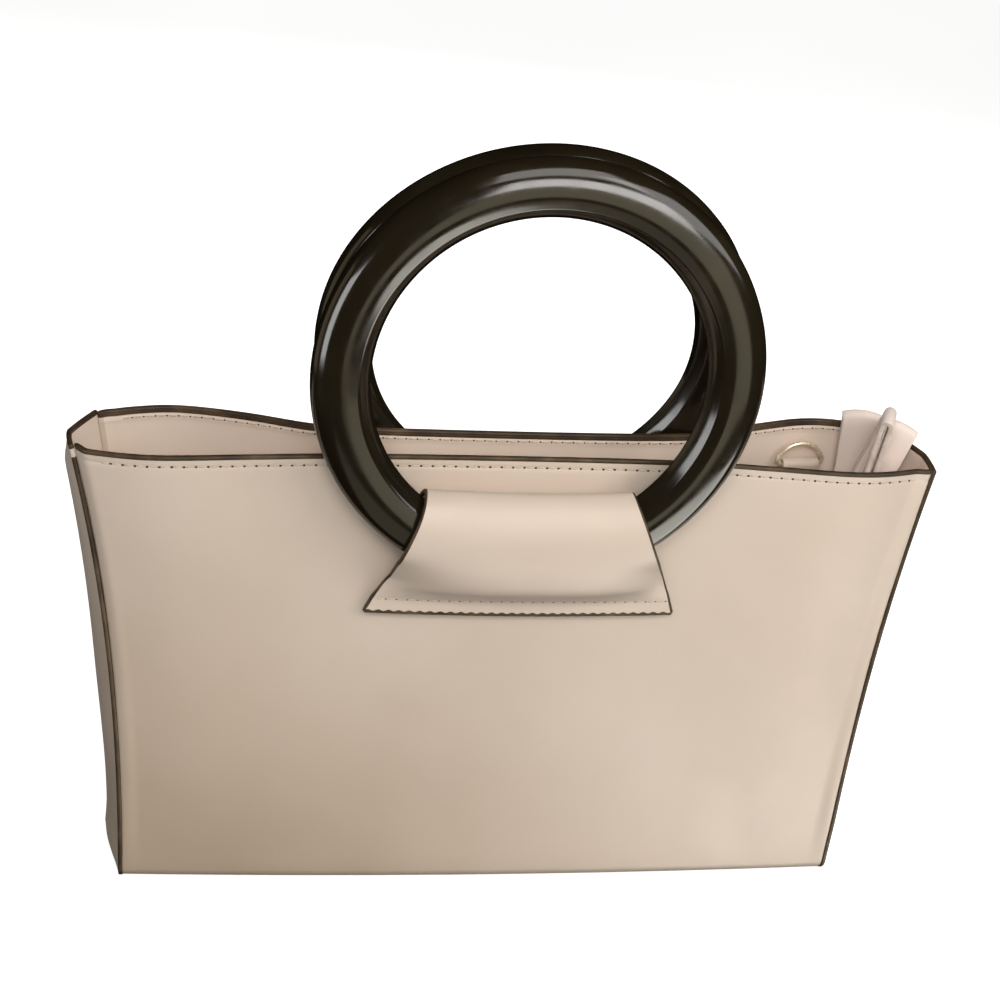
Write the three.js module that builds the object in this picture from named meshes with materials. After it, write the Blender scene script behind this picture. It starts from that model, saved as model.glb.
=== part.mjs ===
// A handbag of smooth leather with two resin ring handles, standing on its base.
// Millimetres, +Z up, +X to the right and -Y to the front; the origin is on the floor under its middle.
import * as THREE from "three";

// Driving dimensions

const GAP = 0.3; // between pieces that touch on the real bag

const SHELL = {
  height: 182, // floor to rim
  rimHalfWidth: 154.1,
  rimShift: -2.3, // the rim stands this far to the side of the base
  baseHalfWidth: 139.7,
  flare: 2.4, // power of the outward curve of the side edges
  baseHalfDepth: 28, // at the ends
  baseBelly: 2.6, // added to it in the middle
  baseSkew: 1.8, // the base's front edge lies this much further out at its right end, and in at its left
  foldRadius: 6, // soft fold from each panel into the base
  leather: 2,
  seamLift: 1.5, // the panel edges roll out this far where the gussets are sewn on
  seamMargin: 6, // width of that roll
  seamFade: 30, // height above the floor where the roll is complete
  backInset: 7, // the back rim's corners lie this much further in than the front's
};

// The mouth from above: how far each rim lies from the middle plane, by share of the half width.
// It is pinched between the handles, opens towards both ends, and rounds in at its corners.
const RIM = {
  front: [
    { across: -1, depth: 7 },
    { across: -0.975, depth: 11.6 },
    { across: -0.93, depth: 13.6 },
    { across: -0.835, depth: 15.4 },
    { across: -0.6, depth: 13.2 },
    { across: -0.4, depth: 11.3 },
    { across: 0.4, depth: 11.3 },
    { across: 0.62, depth: 14.4 },
    { across: 0.81, depth: 17.3 },
    { across: 0.9, depth: 16.2 },
    { across: 1, depth: 12.4 },
  ],
  back: [
    { across: -1, depth: 16.1 },
    { across: -0.965, depth: 19.2 },
    { across: -0.88, depth: 22.4 },
    { across: -0.82, depth: 23.1 },
    { across: -0.74, depth: 21.7 },
    { across: -0.63, depth: 18 },
    { across: -0.5, depth: 12.2 },
    { across: -0.42, depth: 10.4 },
    { across: 0.4, depth: 10.4 },
    { across: 0.49, depth: 12.2 },
    { across: 0.66, depth: 20.6 },
    { across: 0.78, depth: 25.3 },
    { across: 0.86, depth: 25.5 },
    { across: 0.92, depth: 23.3 },
    { across: 1, depth: 16.4 },
  ],
};

// How far the middle of each gusset bows out past its seams, by share of the height.
const GUSSET_BOW = [
  { up: 0, left: 0, right: 0 },
  { up: 0.04, left: 6, right: 3.8 },
  { up: 0.12, left: 5.2, right: 3.8 },
  { up: 0.5, left: 7, right: 6.4 },
  { up: 0.8, left: 7, right: 7.8 },
  { up: 0.93, left: 7, right: 5.8 },
  { up: 1, left: 4.2, right: 3.6 },
];
const GUSSET = { leather: 1.8, creaseAt: 0.42, creasePower: 1.3, seamGap: 0.5 };

const RING = {
  radius: 68.5, // to the middle of the section
  standOff: 10.2, // from the panel to the middle of the section, at the ring's lowest point
};

// Half of a ring's section, from its outer edge to its inner edge: place across it, and half thickness.
// The round faces break at a crease into flat slopes that face the hole.
const RING_SECTION = [
  { out: 10.2, half: 0 },
  { out: 9.5, half: 3.2 },
  { out: 7.1, half: 5.7 },
  { out: 3.2, half: 6.9 },
  { out: -1.5, half: 7 },
  { out: -6, half: 5.8 },
  { out: -8.8, half: 2.6 },
  { out: -10.2, half: 0 },
];

// Each ring's lowest point is its seat, at a place along X and a height. Its top leans towards the other.
const HANDLES = [
  { side: "front", across: -0.2, seat: 148.8, leanDegrees: 3.5 },
  { side: "back", across: 3.2, seat: 147.2, leanDegrees: 8.2 },
];

// A handle tab is one strip: sewn down at its hem, up over the ring, and back down behind it.
// The outer face: rise above the ring's seat, distance out from the panel in the middle and at the side
// edges, and how much narrower the strip is.
const TAB_PATH = [
  { rise: -26.2, out: 4.2, side: 4.2, inset: 0 },
  { rise: -21.5, out: 4.5, side: 4.2, inset: 0 },
  { rise: -17, out: 9, side: 4.5, inset: 0 },
  { rise: -11.5, out: 16.7, side: 5.8, inset: 0 },
  { rise: -4, out: 19.7, side: 12.2, inset: 0 },
  { rise: 4, out: 20.2, side: 18.8, inset: 0 },
  { rise: 12, out: 20.4, side: 20.4, inset: 0 },
  { rise: 19.4, out: 19.4, side: 20.3, inset: 0 },
  { rise: 24, out: 16.8, side: 18.2, inset: 0 },
  { rise: 27.3, out: 10.4, side: 11.2, inset: 0 },
  { rise: 24.6, out: 4, side: 3.8, inset: 0.6 },
  { rise: 19.5, out: 1.3, side: 1.1, inset: 1.2 },
  { rise: 13, out: 0.5, side: 0.5, inset: 3 },
  { rise: 6, out: 0.45, side: 0.45, inset: 6 },
  { rise: -10, out: 0.45, side: 0.45, inset: 8 },
  { rise: -26.2, out: 0.45, side: 0.45, inset: 8 },
];
const TAB = { leather: 1.8, sidePower: 3 };

// The tab's two side edges, which flare towards the hem.
const TAB_SIDES = [
  { rise: -26.2, left: 54.8, right: 60.5 },
  { rise: -17.7, left: 50.7, right: 57.9 },
  { rise: -10, left: 46.6, right: 54.8 },
  { rise: -1, left: 45.2, right: 50.5 },
  { rise: 5.2, left: 43.5, right: 47.6 },
  { rise: 14.9, left: 40, right: 43.6 },
  { rise: 27.3, left: 36.2, right: 38.4 },
];

// The D-ring stands on its bar in a small leather loop inside the back panel.
const D_RING = {
  across: 113.7, // place of the bar along X
  height: 165, // and above the floor
  wire: 1.8,
  bevel: 0.6, // rounds the wire's section
  halfWidth: 10.1,
  rise: 9.3, // from the middle of the bar to the top of the arch
  backLeanDegrees: 7,
};
const D_LOOP = { leather: 1.2, halfWidth: 7.2, clearance: 0.4, standOff: 1.4, neck: -7, hem: -22 };

const STRAP = {
  width: 14,
  leather: 1.8,
  foldGap: 1.2, // between the two runs of a fold
  knee: 26, // from a fold's top down to where its runs start to twist
  footX: 127,
  footHalf: 2, // half the distance between a fold's runs at the floor
  bend: 4,
};

// The folded shoulder strap: where each fold's top stands, how it is turned, the knee that it leans
// over from, and where its runs meet the floor.
const STRAP_FOLDS = [
  { x: 133.6, y: 16.2, top: 190.6, turnDegrees: -17, kneeX: 134.8, footY: 13 },
  { x: 143.9, y: 6, top: 191.6, turnDegrees: -17, kneeX: 137.6, footY: 2.5 },
  { x: 135.2, y: -3.8, top: 200.7, turnDegrees: -115, kneeX: 133, footY: -10 },
];

// How finely the curved surfaces are divided.
const STEPS = { halfPanel: 12, panel: 9, fold: 4, base: 4, gusset: 10, ring: 60, strap: 2, dLoop: 8 };
const TAB_STEPS = { along: 30, across: 8 };

const LEATHER = { color: 0xccb9a6, roughness: 0.5, metalness: 0 };
const STRAP_LEATHER = { color: 0xcdbab0, roughness: 0.6, metalness: 0 };
const RESIN = { color: 0x221c13, roughness: 0.15, metalness: 0 };
const PALE_GOLD = { color: 0xd8c49a, roughness: 0.25, metalness: 1 };

const radians = THREE.MathUtils.degToRad;
const lerp = THREE.MathUtils.lerp;
const smooth = (share) => THREE.MathUtils.smoothstep(share, 0, 1);
const straight = (share) => share;

// The value in one column of a table, at a place between two of its rows.
function fromTable(table, key, column, at, blend) {
  const place = THREE.MathUtils.clamp(at, table[0][key], table.at(-1)[key]);
  const above = Math.max(1, table.findIndex((row) => row[key] >= place));
  const low = table[above - 1];
  const high = table[above];
  const share = (place - low[key]) / (high[key] - low[key]);
  return lerp(low[column], high[column], blend(share));
}

// How much of the way from the base to the rim the side edges have spread at a height.
function spread(z) {
  return Math.pow(z / SHELL.height, SHELL.flare);
}

// Half width of the wrap at a height, on its front or its back.
function halfWidth(side, z) {
  const inset = side === "back" ? SHELL.backInset : 0;
  return lerp(SHELL.baseHalfWidth, SHELL.rimHalfWidth - inset, spread(z));
}

// The wrap's middle line at a height.
function middle(z) {
  return SHELL.rimShift * spread(z);
}

function baseDepth(side, across) {
  const skew = side === "front" ? SHELL.baseSkew * across : 0;
  return SHELL.baseHalfDepth + SHELL.baseBelly * (1 - across * across) + skew;
}

// Distance of a panel's outer face from the middle plane, by share of the half width and height.
function panelDepth(side, across, z) {
  const rim = fromTable(RIM[side], "across", "depth", across, straight);
  const down = (SHELL.height - z) / (SHELL.height - SHELL.foldRadius);
  return lerp(rim, baseDepth(side, across), Math.min(down, 1));
}

function panelDepthAt(side, x, z) {
  return panelDepth(side, (x - middle(z)) / halfWidth(side, z), z);
}

// How far a panel's edge rolls out towards its seam.
function seamLift(side, across, z) {
  const fromEdge = (1 - Math.abs(across)) * halfWidth(side, z);
  const roll = smooth(1 - Math.min(fromEdge / SHELL.seamMargin, 1));
  return SHELL.seamLift * roll * smooth(Math.min(z / SHELL.seamFade, 1));
}

// The stations of a panel from the rim down, round the fold and onto the base.
function panelStations() {
  const stations = [];
  for (let i = 0; i <= STEPS.panel; i++) {
    stations.push({ z: lerp(SHELL.height, SHELL.foldRadius, i / STEPS.panel), turn: 0 });
  }
  for (let i = 1; i <= STEPS.fold; i++) {
    const turn = (Math.PI / 2) * (i / STEPS.fold);
    stations.push({ z: SHELL.foldRadius * (1 - Math.sin(turn)), turn });
  }
  return stations;
}

function stationDepth(side, across, { z, turn }) {
  const lift = seamLift(side, across, z);
  if (turn === 0) return panelDepth(side, across, z) + lift;
  return baseDepth(side, across) - SHELL.foldRadius * (1 - Math.cos(turn)) + lift;
}

// A closed sheet of leather under a grid of points on its outer face.
// Rows run down and columns run to the right, as seen from outside.
function sheet(grid, leather) {
  const rows = grid.length;
  const columns = grid[0].length;
  const positions = [];
  const faces = [];
  const outer = (row, column) => row * columns + column;
  const inner = (row, column) => rows * columns + outer(row, column);
  const between = (from, to) => new THREE.Vector3().subVectors(to, from);
  const behind = grid.map((points, row) =>
    points.map((point, column) => {
      const above = grid[Math.max(row - 1, 0)][column];
      const below = grid[Math.min(row + 1, rows - 1)][column];
      const before = points[Math.max(column - 1, 0)];
      const after = points[Math.min(column + 1, columns - 1)];
      const normal = between(above, below).cross(between(before, after)).normalize();
      return point.clone().addScaledVector(normal, -leather);
    }),
  );
  for (const face of [grid, behind]) {
    for (const point of face.flat()) positions.push(point.x, point.y, point.z);
  }
  const quad = (a, b, c, d) => faces.push(a, b, c, a, c, d);
  for (let r = 0; r < rows - 1; r++) {
    for (let c = 0; c < columns - 1; c++) {
      quad(outer(r, c), outer(r + 1, c), outer(r + 1, c + 1), outer(r, c + 1));
      quad(inner(r, c), inner(r, c + 1), inner(r + 1, c + 1), inner(r + 1, c));
    }
  }
  for (let c = 0; c < columns - 1; c++) {
    quad(outer(0, c), outer(0, c + 1), inner(0, c + 1), inner(0, c));
    quad(outer(rows - 1, c + 1), outer(rows - 1, c), inner(rows - 1, c), inner(rows - 1, c + 1));
  }
  const last = columns - 1;
  for (let r = 0; r < rows - 1; r++) {
    quad(outer(r + 1, 0), outer(r, 0), inner(r, 0), inner(r + 1, 0));
    quad(outer(r, last), outer(r + 1, last), inner(r + 1, last), inner(r, last));
  }
  const geometry = new THREE.BufferGeometry();
  geometry.setAttribute("position", new THREE.Float32BufferAttribute(positions, 3));
  geometry.setIndex(faces);
  geometry.computeVertexNormals();
  return geometry;
}

function piece(name, geometry, finish) {
  const mesh = new THREE.Mesh(geometry, new THREE.MeshStandardMaterial(finish));
  mesh.name = name;
  return mesh;
}

// The front panel, the base and the back panel are one wrap of leather.
function bodyWrap() {
  const stations = panelStations();
  const acrosses = [];
  for (let i = -STEPS.halfPanel; i <= STEPS.halfPanel; i++) {
    const share = Math.abs(i) / STEPS.halfPanel;
    acrosses.push(Math.sign(i) * (1 - Math.pow(1 - share, 1.7)));
  }
  const panelRow = (side, facing) => (station) =>
    acrosses.map((across) => {
      const x = middle(station.z) + across * halfWidth(side, station.z);
      return new THREE.Vector3(x, facing * stationDepth(side, across, station), station.z);
    });
  const frontRows = stations.map(panelRow("front", -1));
  const backRows = stations.map(panelRow("back", 1)).reverse();
  const baseRows = [];
  for (let i = 1; i < STEPS.base; i++) {
    const row = acrosses.map((across) => {
      const front = SHELL.foldRadius - baseDepth("front", across);
      const back = baseDepth("back", across) - SHELL.foldRadius;
      return new THREE.Vector3(across * SHELL.baseHalfWidth, lerp(front, back, i / STEPS.base), 0);
    });
    baseRows.push(row);
  }
  const grid = [...frontRows, ...baseRows, ...backRows];
  return piece("body_wrap", sheet(grid, SHELL.leather), LEATHER);
}

// A gusset closes one end of the wrap: its edges lie over the wrap's edges, and its middle bows out.
function gusset(side) {
  const facing = side === "left" ? -1 : 1;
  const grid = panelStations().map((station) => {
    const row = [];
    for (let i = 0; i <= STEPS.gusset; i++) {
      const share = i / STEPS.gusset;
      const edge = lerp(halfWidth("front", station.z), halfWidth("back", station.z), share);
      const fromEdge = Math.min(share / GUSSET.creaseAt, (1 - share) / (1 - GUSSET.creaseAt));
      const crease = 1 - Math.pow(1 - fromEdge, GUSSET.creasePower);
      const bow = crease * fromTable(GUSSET_BOW, "up", side, station.z / SHELL.height, smooth);
      const front = -stationDepth("front", facing, station);
      const back = stationDepth("back", facing, station);
      const x = middle(station.z) + facing * (edge + GUSSET.seamGap + GUSSET.leather + bow);
      row.push(new THREE.Vector3(x, lerp(front, back, share), station.z));
    }
    return facing > 0 ? row : row.reverse();
  });
  return piece("gusset_" + side, sheet(grid, GUSSET.leather), LEATHER);
}

// A ring handle is a full circle with a rounded section, threaded through its tab.
function ring({ side, across, seat, leanDegrees }) {
  const outline = RING_SECTION.map(({ out, half }) => new THREE.Vector2(RING.radius + out, half));
  const otherHalf = RING_SECTION.slice(0, -1).reverse();
  for (const { out, half } of otherHalf) outline.push(new THREE.Vector2(RING.radius + out, -half));
  const facing = side === "front" ? -1 : 1;
  const lean = radians(leanDegrees);
  const mesh = piece("ring_" + side, new THREE.LatheGeometry(outline, STEPS.ring), RESIN);
  const seatDepth = panelDepth(side, 0, seat) + RING.standOff;
  mesh.position.x = across;
  mesh.position.y = facing * (seatDepth - RING.radius * Math.sin(lean));
  mesh.position.z = seat + RING.radius * Math.cos(lean);
  mesh.rotation.x = facing * lean;
  return mesh;
}

// One line of a handle tab's outer face, from the back hem over the fold to the front hem.
function tabLine(column) {
  const rows = TAB_PATH.map((row) => new THREE.Vector3(row[column], row.rise, row.inset));
  return new THREE.CatmullRomCurve3(rows.reverse()).getPoints(TAB_STEPS.along);
}

function handleTab({ side, across, seat }) {
  const facing = side === "front" ? -1 : 1;
  const sideLine = tabLine("side");
  const grid = tabLine("out").map(({ x: out, y: rise, z: inset }, step) => {
    const left = fromTable(TAB_SIDES, "rise", "left", rise, straight) - inset;
    const right = fromTable(TAB_SIDES, "rise", "right", rise, straight) - inset;
    const row = [];
    for (let i = 0; i <= TAB_STEPS.across; i++) {
      const share = i / TAB_STEPS.across;
      const x = across - facing * lerp(-left, right, share);
      const z = seat + rise;
      const towardsSide = Math.pow(Math.abs(2 * share - 1), TAB.sidePower);
      const depth = panelDepthAt(side, x, z) + lerp(out, sideLine[step].x, towardsSide);
      row.push(new THREE.Vector3(x, facing * depth, z));
    }
    return row;
  });
  return piece("tab_" + side, sheet(grid, TAB.leather), LEATHER);
}

// A small group on the inner face of the back panel: X along the D-ring's bar, Y into the panel, Z up.
function dRingGroup() {
  const { across: x, height: z } = D_RING;
  const innerFace = (px, pz) => new THREE.Vector3(px, panelDepthAt("back", px, pz) - SHELL.leather, pz);
  const along = innerFace(x + D_LOOP.halfWidth, z).sub(innerFace(x - D_LOOP.halfWidth, z)).normalize();
  const upward = innerFace(x, z).sub(innerFace(x, z + D_LOOP.hem)).normalize();
  const inward = new THREE.Vector3().crossVectors(upward, along).normalize();
  const group = new THREE.Group();
  group.position.copy(innerFace(x, z));
  upward.crossVectors(along, inward);
  group.quaternion.setFromRotationMatrix(new THREE.Matrix4().makeBasis(along, inward, upward));
  const barOut = D_LOOP.standOff + D_LOOP.leather + D_LOOP.clearance + D_RING.wire / 2;
  group.add(dRing(barOut), dLoop(barOut));
  return group;
}

// The D-ring: a straight bar and an arch of round wire.
function dRing(barOut) {
  const half = D_RING.wire / 2;
  const outline = new THREE.Shape();
  outline.moveTo(-D_RING.halfWidth, -half);
  outline.lineTo(D_RING.halfWidth, -half);
  outline.absellipse(0, 0, D_RING.halfWidth, D_RING.rise, 0, Math.PI);
  const opening = new THREE.Path();
  const openingRise = D_RING.rise - D_RING.wire - half;
  opening.absellipse(0, half, D_RING.halfWidth - D_RING.wire, openingRise, 0, Math.PI);
  outline.holes.push(opening);
  const geometry = new THREE.ExtrudeGeometry(outline, {
    depth: D_RING.wire - 2 * D_RING.bevel,
    bevelThickness: D_RING.bevel,
    bevelSize: D_RING.bevel,
    bevelOffset: -D_RING.bevel,
    bevelSegments: 2,
    curveSegments: 12,
  });
  geometry.translate(0, 0, D_RING.bevel - half);
  const mesh = piece("d_ring", geometry, PALE_GOLD);
  mesh.position.y = -barOut;
  mesh.rotation.x = Math.PI / 2 - radians(D_RING.backLeanDegrees);
  return mesh;
}

// The D-ring's loop: a strip of leather up the panel, round the bar and down again.
function dLoop(barOut) {
  const turnRadius = D_RING.wire / 2 + D_LOOP.clearance + D_LOOP.leather;
  const backOut = barOut - turnRadius;
  const frontOut = backOut + 2 * D_LOOP.leather + GAP;
  const path = [new THREE.Vector2(backOut, D_LOOP.hem), new THREE.Vector2(backOut, D_LOOP.neck)];
  for (let i = 0; i <= STEPS.dLoop; i++) {
    const turn = (Math.PI * i) / STEPS.dLoop;
    path.push(new THREE.Vector2(barOut - turnRadius * Math.cos(turn), turnRadius * Math.sin(turn)));
  }
  path.push(new THREE.Vector2(frontOut, D_LOOP.neck), new THREE.Vector2(frontOut, D_LOOP.hem));
  const grid = path.map(({ x: out, y: rise }) =>
    [-1, 0, 1].map((end) => new THREE.Vector3(end * D_LOOP.halfWidth, -out, rise)),
  );
  return piece("d_ring_tab", sheet(grid, D_LOOP.leather), LEATHER);
}

// The shoulder strap: one flat ribbon that runs up and down through three folds at the mouth.
function strapPlaces() {
  const floor = SHELL.leather + GAP + STRAP.leather / 2;
  const halfFold = (STRAP.leather + STRAP.foldGap) / 2;
  const level = new THREE.Vector3(1, 0, 0);
  const places = [];
  STRAP_FOLDS.forEach((fold, i) => {
    const foot = new THREE.Vector3(STRAP.footX, fold.footY, floor + STRAP.bend);
    const knee = new THREE.Vector3(fold.kneeX, fold.y, fold.top - STRAP.knee);
    const head = new THREE.Vector3(fold.x, fold.y, fold.top - STRAP.leather / 2 - halfFold);
    const run = [];
    const station = (from, to, share, twist, off) => {
      const turn = radians(fold.turnDegrees) * twist;
      const up = to.clone().sub(from).normalize();
      const wide = new THREE.Vector3(Math.cos(turn), Math.sin(turn), 0);
      wide.addScaledVector(up, -wide.dot(up)).normalize();
      const aside = new THREE.Vector3().crossVectors(up, wide);
      run.push({ centre: from.clone().lerp(to, share), up, wide, aside, off });
    };
    for (const share of [0, 1 / 3, 2 / 3]) {
      station(foot, knee, share, share, lerp(STRAP.footHalf, halfFold, share));
    }
    for (const share of [0, 0.6, 1]) station(knee, head, share, 1, halfFold);
    const add = (at, off, rise = 0) => {
      const place = at.centre.clone().addScaledVector(at.aside, off).addScaledVector(at.up, rise);
      places.push({ wide: at.wide, at: place });
    };
    if (i > 0) {
      const start = STRAP_FOLDS[i - 1].footY - STRAP.footHalf;
      const end = fold.footY + STRAP.footHalf;
      for (const angle of [45, 90, 135].map(radians)) {
        const y = (start + end) / 2 + ((start - end) / 2) * Math.cos(angle);
        places.push({ wide: level, at: new THREE.Vector3(foot.x, y, foot.z - STRAP.bend * Math.sin(angle)) });
      }
    }
    for (const at of run) add(at, at.off);
    for (const angle of [45, 90, 135].map(radians)) {
      add(run[run.length - 1], halfFold * Math.cos(angle), halfFold * Math.sin(angle));
    }
    for (const at of run.reverse()) add(at, -at.off);
  });
  return places;
}

function shoulderStrap() {
  const places = strapPlaces();
  const curve = new THREE.CatmullRomCurve3(places.map((place) => place.at), false, "centripetal");
  const spans = places.length - 1;
  const rows = [];
  for (let i = 0; i <= spans * STEPS.strap; i++) {
    const t = i / (spans * STEPS.strap);
    const at = i / STEPS.strap;
    const from = Math.min(Math.floor(at), spans - 1);
    const along = curve.getTangent(t);
    const wide = places[from].wide.clone().lerp(places[from + 1].wide, at - from);
    wide.addScaledVector(along, -wide.dot(along)).normalize();
    const thick = new THREE.Vector3().crossVectors(wide, along).normalize();
    const centre = curve.getPoint(t).addScaledVector(thick, STRAP.leather / 2);
    rows.push([0.5, -0.5].map((end) => centre.clone().addScaledVector(wide, end * STRAP.width)));
  }
  return piece("shoulder_strap", sheet(rows, STRAP.leather), STRAP_LEATHER);
}

const handbag = new THREE.Group();
handbag.add(bodyWrap(), gusset("left"), gusset("right"));
for (const handle of HANDLES) handbag.add(ring(handle), handleTab(handle));
handbag.add(dRingGroup(), shoulderStrap());

export default handbag;
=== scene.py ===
"""Looks of the handbag: leather with painted edges and stitching, polished ring handles, light and camera."""
import math

import bmesh
import bpy
import numpy as np
from mathutils import Matrix, Vector


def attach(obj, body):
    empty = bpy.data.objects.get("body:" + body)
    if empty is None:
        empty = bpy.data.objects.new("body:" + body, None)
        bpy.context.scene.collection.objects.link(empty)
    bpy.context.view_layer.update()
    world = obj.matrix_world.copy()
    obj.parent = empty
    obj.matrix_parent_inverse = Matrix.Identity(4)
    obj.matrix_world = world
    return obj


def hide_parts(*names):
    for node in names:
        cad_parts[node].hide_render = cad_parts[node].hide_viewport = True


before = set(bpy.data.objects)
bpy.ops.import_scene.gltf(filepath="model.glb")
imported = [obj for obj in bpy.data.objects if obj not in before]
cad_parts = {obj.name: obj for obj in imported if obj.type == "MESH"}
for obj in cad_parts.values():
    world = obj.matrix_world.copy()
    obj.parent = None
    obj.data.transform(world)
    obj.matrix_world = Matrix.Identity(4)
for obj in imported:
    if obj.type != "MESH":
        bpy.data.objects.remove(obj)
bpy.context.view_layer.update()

# Sizes, in millimetres, in the frame of the solids

MM = 0.001

SHELL = {
    "height": 182,
    "rim_half_width": 154.1,
    "rim_shift": -2.3,
    "base_half_width": 139.7,
    "flare": 2.4,
    "base_half_depth": 28,
    "base_belly": 2.6,
    "base_skew": 1.8,
    "fold_radius": 6,
    "leather": 2,
    "seam_lift": 1.5,
    "seam_margin": 6,
    "seam_fade": 30,
    "back_inset": 7,
    "edge_reach": 1.7,
}

# The mouth from above: how far each rim lies from the middle plane, by share of the half width.
RIM = {
    "front": {
        "across": [-1, -0.975, -0.93, -0.835, -0.6, -0.4, 0.4, 0.62, 0.81, 0.9, 1],
        "depth": [7, 11.6, 13.6, 15.4, 13.2, 11.3, 11.3, 14.4, 17.3, 16.2, 12.4],
    },
    "back": {
        "across": [-1, -0.965, -0.88, -0.82, -0.74, -0.63, -0.5, -0.42, 0.4, 0.49, 0.66, 0.78, 0.86, 0.92, 1],
        "depth": [16.1, 19.2, 22.4, 23.1, 21.7, 18, 12.2, 10.4, 10.4, 12.2, 20.6, 25.3, 25.5, 23.3, 16.4],
    },
}

# Soft waves in the panels: depth, how fast two crossing waves run across and up, and where they fade out.
UNEVEN = {"depth": 0.35, "across": (5.1, 1.7), "up": (0.021, 0.031), "rim_fade": 60, "base_fade": 40}

# The paint on the leather's edges: how far it stands past the edge, laps over the face and swells on it,
# and how far below the rim the paint on the side edges starts.
PAINT = {
    "rim_bead": 0.7, "side_bead": 0.5, "foot_bead": 0.05,
    "rim_lap": 1.5, "swell": 0.12, "lap_fade": 0.2, "side_start": 4.6,
}

# Rows and columns of faces that the paint laps over, next to an edge.
LAP = {"front_rim": 3, "back_rim": 6, "gusset_rim": 3, "gusset_side": 2, "tab_side": 1}

# Rows of points below the rim, close together where the paint and the stitches are, then evenly spaced.
RIM_ROWS = [0.7, 1, 1.3, 1.6, 1.75, 2, 2.4, 3, 3.4, 3.8, 4.2, 4.6, 5.2, 6.2, 8, 11, 15, 20]
PANEL_STEP = 5
EDGE_CROWDING = 1.7  # how much closer together the wrap's columns get towards its sides
STEPS = {
    "half_panel": 64, "fold": 10, "base": 16, "gusset": 40, "round": 6, "rim_curve": 8, "ring_curve": 6,
    "loop_run": 6, "loop_turn": 17, "loop_across": 13, "bar": 9, "arch": 33, "bend": 2, "wire": 14,
    "rim_stitches": 160, "tab_stitches": 60,
}
MERGE = 1e-7  # points closer than this, in metres, become one
PLAY = 0.3  # gap between layers of leather that lie on each other

GUSSET = {"leather": 1.8, "crease_at": 0.42, "crease_power": 1.3, "seam_gap": 0.5}

# How far each gusset bows out, by share of the height.
GUSSET_BOW = {
    "up": [0, 0.04, 0.12, 0.5, 0.8, 0.93, 1],
    "left": [0, 6, 5.2, 7, 7, 7, 4.2],
    "right": [0, 3.8, 3.8, 6.4, 7.8, 5.8, 3.6],
}

RING = {"radius": 68.5, "stand_off": 10.2, "steps": 240, "crease_round": 0.5}

# Half of a ring's section, from its outer edge to the crease, and from there down the slope to the hole.
RING_FACE = {"out": [10.2, 9.5, 7.1, 3.2, -1.5, -6], "half": [0, 3.2, 5.7, 6.9, 7, 5.8]}
RING_SLOPE = {"out": [-6, -8.8, -10.2], "half": [5.8, 2.6, 0]}

# Which way each ring faces, its place across, the height of its seat, and its lean in degrees.
HANDLES = {
    "front": {"facing": -1, "across": -0.2, "seat": 148.8, "lean": 3.5},
    "back": {"facing": 1, "across": 3.2, "seat": 147.2, "lean": 8.2},
}

# A handle tab is one strip. Its hem and its fold sag between the sides, and the paint along its hem is wavy.
TAB = {"leather": 1.8, "hem": -26.2, "across": 192, "per_span": 6, "side_power": 3, "face_out": 2}
TAB_SAG = {"hem": 1.3, "hem_fade": 12, "fold": 1.2, "fold_from": 12, "fold_fade": 10}
TAB_EDGE = {"lap": 1.1, "wave": 0.3, "reach": 0.7, "back_bead": 0.3, "hem_bead": 0.4}

# A tab's outer face, from the back hem over the ring to the front hem: rise above the ring's seat, distance
# out from the panel in the middle and at the sides, and how much narrower it is than its sides' table says.
TAB_PATH = [
    {"rise": -26.2, "out": 0.45, "side": 0.45, "inset": 8},
    {"rise": -10, "out": 0.45, "side": 0.45, "inset": 8},
    {"rise": 6, "out": 0.45, "side": 0.45, "inset": 6},
    {"rise": 13, "out": 0.5, "side": 0.5, "inset": 3},
    {"rise": 19.5, "out": 2.6, "side": 2.6, "inset": 1.2},
    {"rise": 23.6, "out": 6, "side": 6, "inset": 0.6},
    {"rise": 26, "out": 11.2, "side": 11.2, "inset": 0},
    {"rise": 23.6, "out": 16.2, "side": 17, "inset": 0},
    {"rise": 19.4, "out": 19, "side": 19.8, "inset": 0},
    {"rise": 12, "out": 20.4, "side": 20.4, "inset": 0},
    {"rise": 4, "out": 20.2, "side": 18.8, "inset": 0},
    {"rise": -4, "out": 19.7, "side": 12.2, "inset": 0},
    {"rise": -11.5, "out": 16.7, "side": 5.8, "inset": 0},
    {"rise": -17, "out": 9, "side": 4.5, "inset": 0},
    {"rise": -21.5, "out": 4.5, "side": 4.2, "inset": 0},
    {"rise": -24, "out": 4.2, "side": 4.2, "inset": 0},
    {"rise": -25.1, "out": 4.2, "side": 4.2, "inset": 0},
    {"rise": -26.2, "out": 4.2, "side": 4.2, "inset": 0},
]

# How far a tab reaches to each side of its ring's middle, by rise.
TAB_SIDES = {
    "rise": [-26.2, -25.4, -17.7, -10, -1, 5.2, 14.9, 26],
    "left": [54.1, 54.6, 50.7, 46.6, 45.2, 43.5, 40, 36.2],
    "right": [59.9, 60.4, 57.9, 54.8, 50.5, 47.6, 43.4, 38.4],
}

# The D-ring, the bar that it swings on, and the loop of leather that holds the bar.
D_RING = {"wire": 1.8, "half_width": 10.1, "rise": 9.3, "lean": 7, "corner": 1.4, "arch_start": 0.22}
D_BAR = {"middle": (114.069, 19.803, 164.919), "along": (0.9955, 0.0947, 0), "up": (0.002, -0.0207, 0.9998)}
D_LOOP = {
    "leather": 1.2, "half_width": 7.2, "clearance": 0.4, "stand_off": 1.4,
    "neck": -7, "hem": -22, "bead": 0.2,
}

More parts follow.
